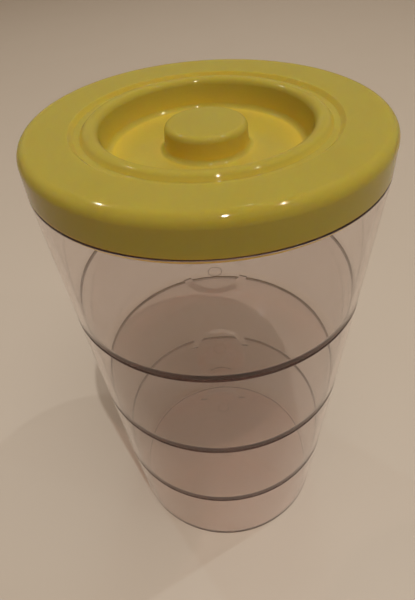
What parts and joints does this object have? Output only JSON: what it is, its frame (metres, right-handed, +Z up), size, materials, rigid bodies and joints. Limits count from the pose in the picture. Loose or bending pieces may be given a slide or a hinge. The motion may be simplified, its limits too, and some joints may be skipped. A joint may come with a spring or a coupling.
{
  "type": "food canister",
  "caption": "Round stacking food canister: clear tapered tubs that stand in one another's mouths, closed by a glossy moulded lid with a sunken finger dish and knob.",
  "frame": {"origin": "on the common axis, at the level of the surface that the bottom tub stands on", "axes": "+Z up along the common axis; X and Y are equivalent because every piece is turned about +Z"},
  "size_m": [0.13, 0.13, 0.2158],
  "materials": {
    "clear_plastic": "clear moulded plastic with a faint plum tint, glossy",
    "yellow_plastic": "glossy moulded"
  },
  "bodies": {
    "bottom_tub": {"bottom_tub": "clear_plastic"},
    "lower_tub": {"lower_tub": "clear_plastic"},
    "upper_tub": {"upper_tub": "clear_plastic"},
    "top_tub": {"top_tub": "clear_plastic"},
    "lid": {"lid": "yellow_plastic"}
  },
  "joints": [
    {"name": "lower_tub_lift", "type": "slide", "parent": "bottom_tub", "child": "lower_tub", "axis": [0, 0, 1], "range_m": [0, 0.08]},
    {"name": "upper_tub_lift", "type": "slide", "parent": "lower_tub", "child": "upper_tub", "axis": [0, 0, 1], "range_m": [0, 0.08]},
    {"name": "top_tub_lift", "type": "slide", "parent": "upper_tub", "child": "top_tub", "axis": [0, 0, 1], "range_m": [0, 0.08]},
    {"name": "lid_lift", "type": "slide", "parent": "top_tub", "child": "lid", "axis": [0, 0, 1], "range_m": [0, 0.08]}
  ]
}
